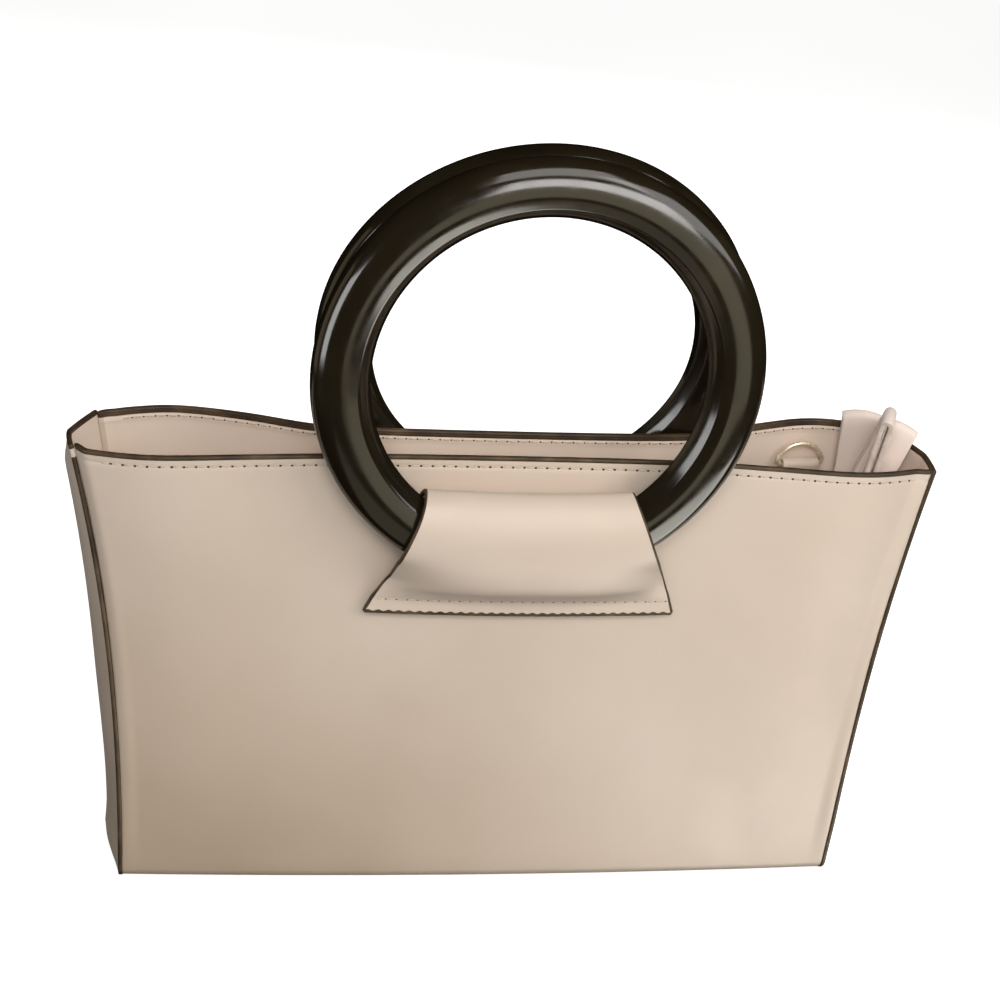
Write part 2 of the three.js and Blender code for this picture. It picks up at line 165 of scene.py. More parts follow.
# The strap goes up and down between the base and its folds. Each fold has a top, a turn in degrees, a knee
# below its top where the runs bend, and a foot on the base.
STRAP = {
    "width": 14, "leather": 1.8, "fold_gap": 1.2, "knee": 26, "foot_x": 127, "foot_half": 2, "bend": 4,
    "arch": 1.3, "arch_from": 100, "arch_fade": 60, "end_bead": 0.2, "side_bead": 0.25,
    "columns": 12, "per_span": 5,
}
STRAP_SHARES = {"below_knee": (0, 1 / 3, 2 / 3), "above_knee": (0, 0.6, 1)}
STRAP_ARC = (45, 90, 135)  # places round a turn of the strap, in degrees
STRAP_FOLDS = [
    {"x": 133.6, "y": 16.2, "top": 190.6, "turn": -17, "knee_x": 134.8, "foot_y": 13},
    {"x": 143.9, "y": 6, "top": 191.6, "turn": -17, "knee_x": 137.6, "foot_y": 2.5},
    {"x": 135.2, "y": -3.8, "top": 200.7, "turn": -115, "knee_x": 133, "foot_y": -10},
]

# Stitch rows: distance from the edge they follow, spacing, and the size of a stitch and of its needle hole.
STITCH = {"rim_drop": 4.1, "inside_drop": 3.5, "hem_rise": 5.6, "pitch": 4.1, "tab_pitch": 3.8}
STITCH_ENDS = {"rim": (-0.94, 0.965), "tab": (0.03, 0.97)}
THREAD = {"length": 2.7, "radius": 0.34, "hole_length": 1.1, "hole_radius": 0.42}
FAINT = 0.72  # size of the needle holes inside the mouth and on the tabs
GROOVE = {"depth": 0.2, "width": 0.6}

# The camera's target and distance, and its angles in degrees.
CAMERA = {"target": (-5.35, 0, 157.94), "distance": 650, "azimuth": -11.7, "elevation": 30.17, "roll": 6.92}
FOCAL_SHARE = 1.77147  # focal length over the width of the picture
FLOOR = {"half_width": 40000, "drop": 0.3}

# Painted shade: the leather's colour darkens down this slope, over this span of it.
CORNER_SHADE = {"slope": (1.4, 0, 2.4), "span": (-0.12, 0.3)}


# Shape of the leather

def smooth(share):
    share = np.clip(share, 0, 1)
    return share * share * (3 - 2 * share)


def look_up(table, key, column, at):
    """The value in one column of a table, eased between the two rows around a place."""
    places = np.array(table[key], float)
    values = np.array(table[column], float)
    at = np.clip(at, places[0], places[-1])
    above = np.clip(np.searchsorted(places, at), 1, len(places) - 1)
    share = smooth((at - places[above - 1]) / (places[above] - places[above - 1]))
    return values[above - 1] + (values[above] - values[above - 1]) * share


def spread(z):
    return (np.maximum(z, 0) / SHELL["height"]) ** SHELL["flare"]


def half_width(side, z):
    """Half width of the wrap at a height, on its front or its back."""
    inset = SHELL["back_inset"] if side == "back" else 0
    base = SHELL["base_half_width"]
    return base + (SHELL["rim_half_width"] - inset - base) * spread(z)


def middle(z):
    return SHELL["rim_shift"] * spread(z)


def base_depth(side, across):
    skew = SHELL["base_skew"] * across if side == "front" else 0
    return SHELL["base_half_depth"] + SHELL["base_belly"] * (1 - across * across) + skew


def rim_depth(side, across):
    """How far a rim lies from the middle plane, on a smooth curve through its table."""
    scale = SHELL["rim_half_width"]
    rows = zip(RIM[side]["across"], RIM[side]["depth"])
    curve = np.array(flowing([(share * scale, depth, 0) for share, depth in rows], STEPS["rim_curve"]))
    return np.interp(across, curve[:, 0] / scale, curve[:, 1])


def panel_depth(side, across, z):
    """Distance of a panel's outer face from the middle plane, by share of the half width and height."""
    rim = rim_depth(side, across)
    down = (SHELL["height"] - z) / (SHELL["height"] - SHELL["fold_radius"])
    return rim + (base_depth(side, across) - rim) * np.minimum(down, 1)


def panel_depth_at(side, x, z):
    return panel_depth(side, (x - middle(z)) / half_width(side, z), z)


def seam_lift(side, across, z):
    """How far a panel's edge rolls out towards its seam."""
    from_edge = (1 - np.abs(across)) * half_width(side, z)
    roll = smooth(1 - np.minimum(from_edge / SHELL["seam_margin"], 1))
    return SHELL["seam_lift"] * roll * smooth(z / SHELL["seam_fade"])


def groove(distance):
    return -GROOVE["depth"] * np.exp(-((distance / GROOVE["width"]) ** 2))


def panel_relief(across, z):
    """Fine shape of a panel's face: paint at the rim, the pull of the stitches, and soft unevenness."""
    below = SHELL["height"] - z
    paint = PAINT["swell"] * (1 - smooth((below - PAINT["rim_lap"]) / PAINT["lap_fade"]))
    first, second = (np.sin(x * across + up * z) for x, up in zip(UNEVEN["across"], UNEVEN["up"]))
    fade = smooth(below / UNEVEN["rim_fade"]) * smooth(z / UNEVEN["base_fade"])
    return paint + groove(below - STITCH["rim_drop"]) + UNEVEN["depth"] * first * second * fade


def panel_face(side, across, z):
    """A point on a panel's outer face, as x, y, z."""
    depth = panel_depth(side, across, z) + seam_lift(side, across, z) + panel_relief(across, z)
    facing = HANDLES[side]["facing"]
    return middle(z) + across * half_width(side, z), facing * depth, z


def panel_heights():
    """Heights of the rows of a panel, from the rim down to its fold."""
    start = SHELL["height"] - RIM_ROWS[-1]
    count = round((start - SHELL["fold_radius"]) / PANEL_STEP)
    even = np.linspace(start, SHELL["fold_radius"], count + 1)[1:]
    return np.concatenate([SHELL["height"] - np.array(RIM_ROWS), even])


def fold_turns():
    return np.linspace(0, math.pi / 2, STEPS["fold"] + 1)[1:]


# Meshes

def unit(vectors):
    return vectors / np.maximum(np.linalg.norm(vectors, axis=-1, keepdims=True), 1e-9)


def new_object(name, mesh):
    thing = bpy.data.objects.new(name, mesh)
    bpy.context.scene.collection.objects.link(thing)
    return thing


def mesh_object(name, points, faces, materials, indices=None):
    """A smooth mesh object from points in millimetres, with the points that meet merged."""
    mesh = bpy.data.meshes.new(name)
    mesh.from_pydata((np.asarray(points, float) * MM).tolist(), [], [tuple(face) for face in faces])
    for finish in materials:
        mesh.materials.append(finish)
    if indices is not None:
        mesh.polygons.foreach_set("material_index", np.asarray(indices, np.int32))
    work = bmesh.new()
    work.from_mesh(mesh)
    bmesh.ops.remove_doubles(work, verts=work.verts, dist=MERGE)
    work.to_mesh(mesh)
    work.free()
    mesh.shade_smooth()
    return new_object(name, mesh)


def leather_sheet(name, grid, leather, beads, materials, lap_rows=(0, 0), lap_columns=0, bare_rows=0):
    """A closed sheet of leather with rounded edges, under a grid of points on its outer face.

    Rows run down and columns run to the right, as seen from outside. The beads stand past the first row,
    the last row and the sides. The edges, and the rows and columns that lap counts, take the second
    material, but the sides of the first bare rows don't. The inner face takes the third, if there is one.
    """
    count, columns = grid.shape[:2]
    down = unit(np.gradient(grid, axis=0))
    right = unit(np.gradient(grid, axis=1))
    normal = unit(np.cross(down, right))
    core = grid - normal * leather / 2
    half_turns = np.linspace(0, math.pi, STEPS["round"] + 1)
    quarter_turns = half_turns[1 : STEPS["round"] // 2 + 1]
    sections = [(0, turn, -beads[0]) for turn in quarter_turns[::-1]]
    sections += [(row, 0, 0) for row in range(count)]
    sections += [(count - 1, turn, beads[1]) for turn in quarter_turns]
    edge_turns = half_turns[1:-1, None]
    rings = []
    for row, turn, bead in sections:
        half = leather / 2 * math.cos(turn)
        centre = core[row] + down[row] * bead * math.sin(turn)
        bulge = beads[2] * math.cos(turn)
        right_edge = centre[-1] + normal[row, -1] * half * np.cos(edge_turns)
        right_edge = right_edge + right[row, -1] * bulge * np.sin(edge_turns)
        left_edge = centre[0] - normal[row, 0] * half * np.cos(edge_turns)
        left_edge = left_edge - right[row, 0] * bulge * np.sin(edge_turns)
        outer = centre + normal[row] * half
        inner = (centre - normal[row] * half)[::-1]
        rings.append(np.concatenate([outer, right_edge, inner, left_edge]))
    size = len(rings[0])
    half_size = size // 2
    round_rows = len(quarter_turns)
    last_row = len(rings) - 1 - round_rows
    faces = []
    finish = []
    for row in range(len(rings) - 1):
        on_row = row < round_rows + lap_rows[0] or row >= last_row - lap_rows[1]
        bare = row < round_rows + bare_rows
        for place in range(size):
            after = (place + 1) % size
            corners = (row * size + place, (row + 1) * size + place)
            faces.append((*corners, (row + 1) * size + after, row * size + after))
            in_face = place % half_size
            from_side = min(in_face, columns - 2 - in_face)  # under zero on a rounded side
            if on_row or from_side < lap_columns and not bare:
                finish.append(1)
            else:
                inner = place >= half_size and from_side >= 0
                # The third material, where given, is the leather's inside copy, painted lighter to stand for
                # light.
                finish.append(2 if inner and len(materials) > 2 else 0)
    return mesh_object(name, np.concatenate(rings), faces, materials, finish)


def flowing(points, per_span):
    """Points along a smooth curve through a list of points, which doesn't overshoot at tight turns."""
    points = [Vector(point) for point in points]
    line = [2 * points[0] - points[1], *points, 2 * points[-1] - points[-2]]
    curve = []
    for a, b, c, d in zip(line, line[1:], line[2:], line[3:]):
        before, span, after = (math.sqrt((q - p).length) for p, q in ((a, b), (b, c), (c, d)))
        leave = ((b - a) / before - (c - a) / (before + span) + (c - b) / span) * span
        arrive = ((c - b) / span - (d - b) / (span + after) + (d - c) / after) * span
        for step in range(per_span):
            t = step / per_span
            s = 1 - t
            point = b * (1 + 2 * t) * s * s + c * (1 + 2 * s) * t * t
            curve.append(point + leave * t * s * s - arrive * s * t * t)
    curve.append(points[-1])
    return curve


# Node trees that grow the stitches

def add_node(tree, kind, **settings):
    """A new node; settings are its own options, or its input sockets by name."""
    node = tree.nodes.new(kind)
    for key, value in settings.items():
        label = key.replace("_", " ").title()
        if hasattr(node, key):
            setattr(node, key, value)
        elif isinstance(value, bpy.types.NodeSocket):
            tree.links.new(value, node.inputs[label])
        else:
            node.inputs[label].default_value = value
    return node


def node_group(name, inputs):
    """An empty geometry tree with named inputs; returns it with its input and output nodes."""
    tree = bpy.data.node_groups.new(name, "GeometryNodeTree")
    tree.interface.new_socket("Geometry", in_out="INPUT", socket_type="NodeSocketGeometry")
    for label, kind in inputs.items():
        tree.interface.new_socket(label, in_out="INPUT", socket_type="NodeSocket" + kind)
    tree.interface.new_socket("Geometry", in_out="OUTPUT", socket_type="NodeSocketGeometry")
    return tree, tree.nodes.new("NodeGroupInput").outputs, tree.nodes.new("NodeGroupOutput")


def grow(name, mesh, tree, values):
    """A plain mesh object from what a tree makes of a path."""
    holder = new_object(name + "_path", mesh)
    modifier = holder.modifiers.new("Grow", "NODES")
    modifier.node_group = tree
    for item in tree.interface.items_tree:
        if item.in_out == "INPUT" and item.name in values:
            modifier[item.identifier] = values[item.name]
    depsgraph = bpy.context.evaluated_depsgraph_get()
    grown = bpy.data.meshes.new_from_object(holder.evaluated_get(depsgraph))
    bpy.data.objects.remove(holder)
    grown.name = name
    return new_object(name, grown)


def path_mesh(name, line):
    """A line of points, in millimetres, as a mesh of edges."""
    points = [tuple(Vector(point) * MM) for point in line]
    mesh = bpy.data.meshes.new(name)
    mesh.from_pydata(points, [(start, start + 1) for start in range(len(points) - 1)], [])
    return mesh


def stitch_tree():
    """Stitches along a path: a thread at every pitch, and between each two a dark needle hole, its shade
    painted on.
    """
    sizes = ("Pitch", "Thread Length", "Thread Radius", "Hole Length", "Hole Radius")
    inputs = {label: "Float" for label in sizes}
    tree, given, result = node_group("Stitches", {**inputs, "Thread": "Material", "Hole": "Material"})
    path = add_node(tree, "GeometryNodeMeshToCurve", mesh=given["Geometry"])
    row = add_node(tree, "GeometryNodeResampleCurve", curve=path.outputs[0], mode="LENGTH")
    tree.links.new(given["Pitch"], row.inputs["Length"])
    tangent = add_node(tree, "GeometryNodeInputTangent").outputs[0]
    turn = add_node(tree, "FunctionNodeAlignRotationToVector", axis="X", vector=tangent)
    half = add_node(tree, "ShaderNodeMath", operation="MULTIPLY")
    tree.links.new(given["Pitch"], half.inputs[0])
    half.inputs[1].default_value = 0.5
    step = add_node(tree, "ShaderNodeVectorMath", operation="SCALE", scale=half.outputs[0])
    tree.links.new(tangent, step.inputs[0])
    between = add_node(tree, "GeometryNodeSetPosition", geometry=row.outputs[0], offset=step.outputs[0])
    join = tree.nodes.new("GeometryNodeJoinGeometry")
    rows = (("Thread", row.outputs[0], 6, 5), ("Hole", between.outputs[0], 6, 4))
    for part, points, segments, rings in rows:
        ball = add_node(tree, "GeometryNodeMeshUVSphere", segments=segments, rings=rings, radius=1.0)
        shape = add_node(tree, "ShaderNodeCombineXYZ", x=given[part + " Length"], y=given[part + " Radius"])
        tree.links.new(given[part + " Radius"], shape.inputs[2])
        stitch = add_node(tree, "GeometryNodeTransform", geometry=ball.outputs[0], scale=shape.outputs[0])
        placed = add_node(tree, "GeometryNodeInstanceOnPoints", points=points, instance=stitch.outputs[0])
        tree.links.new(turn.outputs[0], placed.inputs["Rotation"])
        real = add_node(tree, "GeometryNodeRealizeInstances", geometry=placed.outputs[0])
        soft = add_node(tree, "GeometryNodeSetShadeSmooth", geometry=real.outputs[0])
        finish = add_node(tree, "GeometryNodeSetMaterial", geometry=soft.outputs[0], material=given[part])
        tree.links.new(finish.outputs[0], join.inputs[0])
    tree.links.new(join.outputs[0], result.inputs[0])
    return tree


# Materials

def new_material(name, roughness, **sockets):
    """A material with its shader's constant sockets set; returns it, its node tree and its shader."""
    finish = bpy.data.materials.new(name)
    finish.use_nodes = True
    shader = finish.node_tree.nodes["Principled BSDF"]
    shader.inputs["Roughness"].default_value = roughness
    for key, value in sockets.items():
        shader.inputs[key.replace("_", " ").title().replace("Ior", "IOR")].default_value = value
    return finish, finish.node_tree, shader


def noise(tree, scale, detail=3.0, distortion=0.0, stretch=(1, 1, 1)):
    """A noise pattern on the object's own coordinates, with its scale per metre."""
    place = tree.nodes.new("ShaderNodeTexCoord").outputs["Object"]
    mapping = tree.nodes.new("ShaderNodeMapping")
    mapping.inputs["Scale"].default_value = stretch
    tree.links.new(place, mapping.inputs["Vector"])
    pattern = tree.nodes.new("ShaderNodeTexNoise")
    pattern.inputs["Scale"].default_value = scale
    pattern.inputs["Detail"].default_value = detail
    pattern.inputs["Distortion"].default_value = distortion
    tree.links.new(mapping.outputs[0], pattern.inputs["Vector"])
    return pattern.outputs["Fac"]


def ramp(tree, factor, stops):
    """Colours along a value: stops are (place, red, green, blue)."""
    node = tree.nodes.new("ShaderNodeValToRGB")
    bands = node.color_ramp.elements
    while len(bands) < len(stops):
        bands.new(0.5)
    for band, (place, *colour) in zip(bands, stops):
        band.position = place
        band.color = (*colour, 1)
    tree.links.new(factor, node.inputs[0])
    return node.outputs[0]


def between(tree, factor, low, high, span=(0.3, 0.7)):
    """A value spread over a range of its own, from the span that it comes in."""
    node = tree.nodes.new("ShaderNodeMapRange")
    tree.links.new(factor, node.inputs["Value"])
    node.inputs["From Min"].default_value = span[0]
    node.inputs["From Max"].default_value = span[1]
    node.inputs["To Min"].default_value = low
    node.inputs["To Max"].default_value = high
    return node.outputs[0]


def tint(tree, shader, tone, stops, socket="Base Color"):
    tree.links.new(ramp(tree, tone, stops), shader.inputs[socket])


def vary_roughness(tree, shader, pattern, low, high):
    tree.links.new(between(tree, pattern, low, high), shader.inputs["Roughness"])


def bump(tree, shader, heights):
    """Bumps of several patterns on top of each other: each is a height, its strength and its depth."""
    normal = None
    for height, strength, depth in heights:
        node = tree.nodes.new("ShaderNodeBump")
        node.inputs["Strength"].default_value = strength
        node.inputs["Distance"].default_value = depth
        tree.links.new(height, node.inputs["Height"])
        if normal:
            tree.links.new(normal, node.inputs["Normal"])
        normal = node.outputs[0]
    tree.links.new(normal, shader.inputs["Normal"])


def cells(tree, scale):
    """A pattern of small rounded cells, for leather grain."""
    pattern = tree.nodes.new("ShaderNodeTexVoronoi")
    pattern.feature = "SMOOTH_F1"
    pattern.inputs["Scale"].default_value = scale
    place = tree.nodes.new("ShaderNodeTexCoord").outputs["Object"]
    tree.links.new(place, pattern.inputs["Vector"])
    return pattern.outputs["Distance"]


def shade_to_corner(tree, stops):
    """Painted shade: colours along a slope that falls to the left and down, on the object's own coordinates.
    """
    place = tree.nodes.new("ShaderNodeTexCoord").outputs["Object"]
    slope = tree.nodes.new("ShaderNodeVectorMath")
    slope.operation = "DOT_PRODUCT"
    slope.inputs[1].default_value = CORNER_SHADE["slope"]
    tree.links.new(place, slope.inputs[0])
    return ramp(tree, between(tree, slope.outputs["Value"], 0, 1, CORNER_SHADE["span"]), stops)


def leather_material(name, dark, mid, light, roughness, corner=None):
    finish, tree, shader = new_material(name, roughness, sheen_weight=0.06, specular_ior_level=0.4)
    tone = ramp(tree, noise(tree, 14, 4), [(0.3, *dark), (0.5, *mid), (0.72, *light)])
    # Painted shade: the corner ramp darkens the colour towards the lower left.
    if corner:
        shaded = tree.nodes.new("ShaderNodeMix")
        shaded.data_type = "RGBA"
        shaded.blend_type = "MULTIPLY"
        shaded.inputs["Factor"].default_value = 1
        tree.links.new(tone, shaded.inputs[6])
        tree.links.new(shade_to_corner(tree, corner), shaded.inputs[7])
        tone = shaded.outputs[2]
    tree.links.new(tone, shader.inputs["Base Color"])
    vary_roughness(tree, shader, noise(tree, 60, 5), roughness - 0.06, roughness + 0.08)
    bump(tree, shader, [(cells(tree, 1500), 0.12, 0.0001), (noise(tree, 220, 3), 0.08, 0.0004)])
    return finish


def paint_material():
    finish, tree, shader = new_material("Edge paint", 0.45, specular_ior_level=0.25)
    stops = [(0.3, 0.022, 0.012, 0.005), (0.55, 0.055, 0.033, 0.015), (0.8, 0.12, 0.077, 0.04)]
    tint(tree, shader, noise(tree, 90, 4), stops)
    vary_roughness(tree, shader, noise(tree, 400, 3), 0.35, 0.6)
    bump(tree, shader, [(noise(tree, 700, 3), 0.25, 0.0002)])
    return finish


def resin_material():
    finish, tree, shader = new_material("Resin", 0.1, specular_ior_level=0.5)
    stops = [(0.3, 0.009, 0.0065, 0.0032), (0.55, 0.0155, 0.0115, 0.006), (0.8, 0.04, 0.032, 0.017)]
    tint(tree, shader, noise(tree, 9, 3, 1.4, (1, 1, 0.6)), stops)
    vary_roughness(tree, shader, noise(tree, 120, 4), 0.1, 0.18)
    bump(tree, shader, [(noise(tree, 35, 2), 0.08, 0.0008)])
    return finish


def gold_material():
    finish, tree, shader = new_material("Pale gold", 0.3, metallic=0.55)
    tint(tree, shader, noise(tree, 300, 3), [(0.3, 0.74, 0.63, 0.45), (0.7, 0.9, 0.81, 0.64)])
    vary_roughness(tree, shader, noise(tree, 900, 3, 0, (1, 1, 6)), 0.16, 0.32)
    bump(tree, shader, [(noise(tree, 1500, 2), 0.06, 0.0001)])
    return finish


def thread_material():
    finish, tree, shader = new_material("Thread", 0.75, sheen_weight=0.2)
    tint(tree, shader, noise(tree, 500, 2), [(0.3, 0.5, 0.4, 0.31), (0.7, 0.64, 0.53, 0.43)])
    bump(tree, shader, [(noise(tree, 3500, 2, 0, (1, 1, 3)), 0.4, 0.0001)])
    return finish


# Painted shade: the dark colour of a needle hole stands for the shade inside it.
def needle_hole_shade_material():
    finish, tree, shader = new_material("Needle hole painted shade", 0.9, specular_ior_level=0.1)
    tint(tree, shader, noise(tree, 300, 2), [(0.3, 0.05, 0.034, 0.02), (0.7, 0.13, 0.095, 0.065)])
    return finish


def suede_material():
    finish, tree, shader = new_material("Strap edge", 0.85, sheen_weight=0.3)
    tint(tree, shader, noise(tree, 420, 4), [(0.3, 0.47, 0.37, 0.31), (0.7, 0.64, 0.54, 0.46)])
    bump(tree, shader, [(noise(tree, 1600, 4), 0.5, 0.0003)])
    return finish


def floor_material():
    finish, tree, shader = new_material("Floor", 0.8, specular_ior_level=0, emission_strength=0.68)
    tone = noise(tree, 3, 2)
    for socket in ("Base Color", "Emission Color"):
        tint(tree, shader, tone, [(0.3, 0.93, 0.94, 0.935), (0.7, 0.96, 0.97, 0.965)], socket)
    return finish


# The leather's own colour, with painted shade towards the lower left.
LEATHER = leather_material(
    "Leather", (0.575, 0.47, 0.38), (0.61, 0.5, 0.41), (0.64, 0.53, 0.44), 0.5,
    corner=[(0, 0.78, 0.73, 0.66), (0.5, 0.94, 0.92, 0.89), (0.8, 1, 1, 1)],
)
# Painted light: a lighter copy of the leather for the inner faces, standing for light that the mouth's shade
# keeps out.
INSIDE_PAINTED_LIGHTER = leather_material("Leather inside painted lighter", (0.71, 0.59, 0.49), (0.76, 0.63, 0.53), (0.8, 0.67, 0.57), 0.6)
# The strap's own paler leather, painted lighter still to make up for the shade it lies in inside the mouth.
STRAP_LEATHER_PAINTED_LIGHTER = leather_material(
    "Strap leather painted lighter", (0.71, 0.595, 0.525), (0.755, 0.64, 0.575), (0.79, 0.675, 0.61), 0.6
)
EDGE_PAINT = paint_material()
RESIN = resin_material()
PALE_GOLD = gold_material()
THREAD_YARN = thread_material()
NEEDLE_HOLE_SHADE = needle_hole_shade_material()
STRAP_EDGE = suede_material()


def finish_piece(piece, body, slot, *nodes):
    """Hands a finished piece to the body that it moves with, in place of the solids that it stands for."""
    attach(piece, body)
    if nodes:
        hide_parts(*nodes)


# Leather pieces

def body_wrap():
    """The front panel, the base and the back panel in one wrap."""
    share = np.linspace(-1, 1, 2 * STEPS["half_panel"] + 1)
    across = np.sign(share) * (1 - (1 - np.abs(share)) ** EDGE_CROWDING)
    radius = SHELL["fold_radius"]

    def panel_rows(side):
        facing = HANDLES[side]["facing"]
        rows = [np.stack(np.broadcast_arrays(*panel_face(side, across, z)), -1) for z in panel_heights()]
        for turn in fold_turns():
            z = radius * (1 - math.sin(turn))
            depth = base_depth(side, across) - radius * (1 - math.cos(turn)) + seam_lift(side, across, z)
            x = middle(z) + across * half_width(side, z)
            rows.append(np.stack([x, facing * depth, np.full_like(x, z)], -1))
        return rows

    base = []
    front = radius - base_depth("front", across)
    back = base_depth("back", across) - radius
    for part in np.linspace(0, 1, STEPS["base"] + 1)[1:-1]:
        depth = front + (back - front) * part
        base.append(np.stack([across * SHELL["base_half_width"], depth, np.zeros_like(across)], -1))
    grid = np.array([*panel_rows("front"), *base, *reversed(panel_rows("back"))])
    beads = (PAINT["rim_bead"], PAINT["rim_bead"], SHELL["edge_reach"])
    wrap = leather_sheet(
        "leather_wrap", grid, SHELL["leather"], beads, [LEATHER, EDGE_PAINT, INSIDE_PAINTED_LIGHTER],
        lap_rows=(LAP["front_rim"], LAP["back_rim"]), bare_rows=len(grid),
    )
    finish_piece(wrap, "bag", "leather", "body_wrap")


def gusset(side, facing):
    """A side panel whose edges lie over the wrap's edges and whose middle bows out along a crease."""
    share = (1 - np.cos(np.linspace(0, math.pi, STEPS["gusset"] + 1))) / 2
    from_edge = np.minimum(share / GUSSET["crease_at"], (1 - share) / (1 - GUSSET["crease_at"]))
    crease = 1 - (1 - from_edge) ** GUSSET["crease_power"]
    stations = [(z, 0) for z in panel_heights()]
    stations += [(SHELL["fold_radius"] * (1 - math.sin(turn)), turn) for turn in fold_turns()]
    rows = []
    for z, turn in stations:
        ends = {}
        for panel in ("front", "back"):
            depth = panel_depth(panel, facing, z)
            if turn:
                depth = base_depth(panel, facing) - SHELL["fold_radius"] * (1 - math.cos(turn))
            ends[panel] = depth + seam_lift(panel, 1, z)
        edge = half_width("front", z) + (half_width("back", z) - half_width("front", z)) * share
        bow = crease * look_up(GUSSET_BOW, "up", side, z / SHELL["height"])
        x = middle(z) + facing * (edge + GUSSET["seam_gap"] + GUSSET["leather"] + bow)
        y = -ends["front"] + (ends["front"] + ends["back"]) * share
        row = np.stack([x, y, np.full_like(x, z)], -1)
        rows.append(row if facing > 0 else row[::-1])
    beads = (PAINT["rim_bead"], PAINT["foot_bead"], PAINT["side_bead"])
    bare = sum(drop < PAINT["side_start"] for drop in RIM_ROWS) if facing < 0 else 0
    panel = leather_sheet(
        "leather_gusset_" + side, np.array(rows), GUSSET["leather"], beads, [LEATHER, EDGE_PAINT, INSIDE_PAINTED_LIGHTER],
        lap_rows=(LAP["gusset_rim"], 0), lap_columns=LAP["gusset_side"], bare_rows=bare,
    )
    finish_piece(panel, "bag", "leather", "gusset_" + side)


def tab_point(handle, x_share, out, side_out, rise, inset):
    """A point on a handle tab's outer face, by share of its width, distance out and rise."""
    left, right = (np.interp(rise, TAB_SIDES["rise"], TAB_SIDES[end]) - inset for end in ("left", "right"))
    facing = handle["facing"]
    across = -left + (left + right) * x_share
    above_hem = rise - TAB["hem"]
    to_side = np.abs(2 * x_share - 1)
    hem_sag = TAB_SAG["hem"] * (1 - smooth(above_hem / TAB_SAG["hem_fade"]))
    fold_sag = TAB_SAG["fold"] * smooth((rise - TAB_SAG["fold_from"]) / TAB_SAG["fold_fade"])
    sag = (hem_sag + fold_sag) * (1 - to_side**2)
    at_lap = np.exp(-(((above_hem - TAB_EDGE["lap"]) / TAB_EDGE["reach"]) ** 2))
    wave = TAB_EDGE["wave"] * np.cos(2 * math.pi * across / STITCH["tab_pitch"]) * at_lap
    x = handle["across"] - facing * across
    z = handle["seat"] + rise - sag + wave
    side = "front" if facing < 0 else "back"
    stand_off = out + (side_out - out) * to_side ** TAB["side_power"]
    return np.stack([x, facing * (panel_depth_at(side, x, z) + stand_off), z], -1)


def tab_path():
    """Rows of a tab's outer face: distance out in the middle and at the sides, rise and inset."""
    columns = ("out", "side", "rise", "inset")
    return np.array(flowing([[row[column] for column in columns] for row in TAB_PATH], TAB["per_span"]))


def handle_tab(side):
    """The loop of leather that holds a ring: one strip, sewn down at its hem."""
    handle = HANDLES[side]
    share = np.linspace(0, 1, TAB["across"] + 1)
    stitch_rise = TAB["hem"] + STITCH["hem_rise"]
    rows = []
    for out, side_out, rise, inset in tab_path():
        pull = groove(rise - stitch_rise) if out > TAB["face_out"] else 0
        rows.append(tab_point(handle, share, out + pull, side_out + pull, rise, inset))
    beads = (TAB_EDGE["back_bead"], TAB_EDGE["hem_bead"], PAINT["side_bead"])
    tab = leather_sheet(
        "leather_tab_" + side, np.array(rows), TAB["leather"], beads, [LEATHER, EDGE_PAINT],
        lap_rows=(0, TAB["per_span"]), lap_columns=LAP["tab_side"],
    )
    finish_piece(tab, "bag", "leather", "tab_" + side)


def bar_out():
    """How far the D-ring's bar lies from the back panel."""
    return D_LOOP["stand_off"] + D_LOOP["leather"] + D_LOOP["clearance"] + D_RING["wire"] / 2


def d_ring_frame():
    """The place on the back panel behind the D-ring's bar, with the ways along it, into the panel, and up."""
    along, upward = (Vector(D_BAR[key]).normalized() for key in ("along", "up"))
    inward = upward.cross(along).normalized()
    upward = along.cross(inward)
    turn = Matrix((along, inward, upward)).transposed().to_4x4()
    return Matrix.Translation(Vector(D_BAR["middle"]) + inward * bar_out()) @ turn


def d_ring_loop():
    """The small strip of leather up the panel, round the D-ring's bar and down again."""
    radius = D_RING["wire"] / 2 + D_LOOP["clearance"] + D_LOOP["leather"]
    back = bar_out() - radius
    front = back + 2 * D_LOOP["leather"] + PLAY
    rises = np.linspace(D_LOOP["hem"], D_LOOP["neck"], STEPS["loop_run"])
    points = [(back, rise) for rise in rises]
    for turn in np.linspace(0, math.pi, STEPS["loop_turn"]):
        points.append((bar_out() - radius * math.cos(turn), radius * math.sin(turn)))
    points += [(front, rise) for rise in rises[::-1]]
    place = d_ring_frame()
    across = np.linspace(-D_LOOP["half_width"], D_LOOP["half_width"], STEPS["loop_across"])
    rows = [[place @ Vector((x, -out, rise)) for x in across] for out, rise in points]
    beads = (D_LOOP["bead"], D_LOOP["bead"], D_LOOP["bead"])
    loop = leather_sheet("leather_d_ring_loop", np.array(rows), D_LOOP["leather"], beads, [LEATHER, LEATHER])
    finish_piece(loop, "bag", "leather", "d_ring_tab")


def strap_stations(fold, foot, half_fold):
    """Places up one fold, from its foot to its head.

    Each is the middle between the fold's two runs, the ways across, aside and up, and how far aside a run is.
    """
    knee = Vector((fold["knee_x"], fold["y"], fold["top"] - STRAP["knee"]))
    head = Vector((fold["x"], fold["y"], fold["top"] - STRAP["leather"] / 2 - half_fold))
    stations = []
    for start, end, part in ((foot, knee, "below_knee"), (knee, head, "above_knee")):
        up = (end - start).normalized()
        for share in STRAP_SHARES[part]:
            twist = share if end is knee else 1
            turn = math.radians(fold["turn"]) * twist
            wide = Vector((math.cos(turn), math.sin(turn), 0))
            wide = (wide - up * wide.dot(up)).normalized()
            off = STRAP["foot_half"] + (half_fold - STRAP["foot_half"]) * twist
            stations.append((start.lerp(end, share), wide, up.cross(wide), up, off))
    return stations


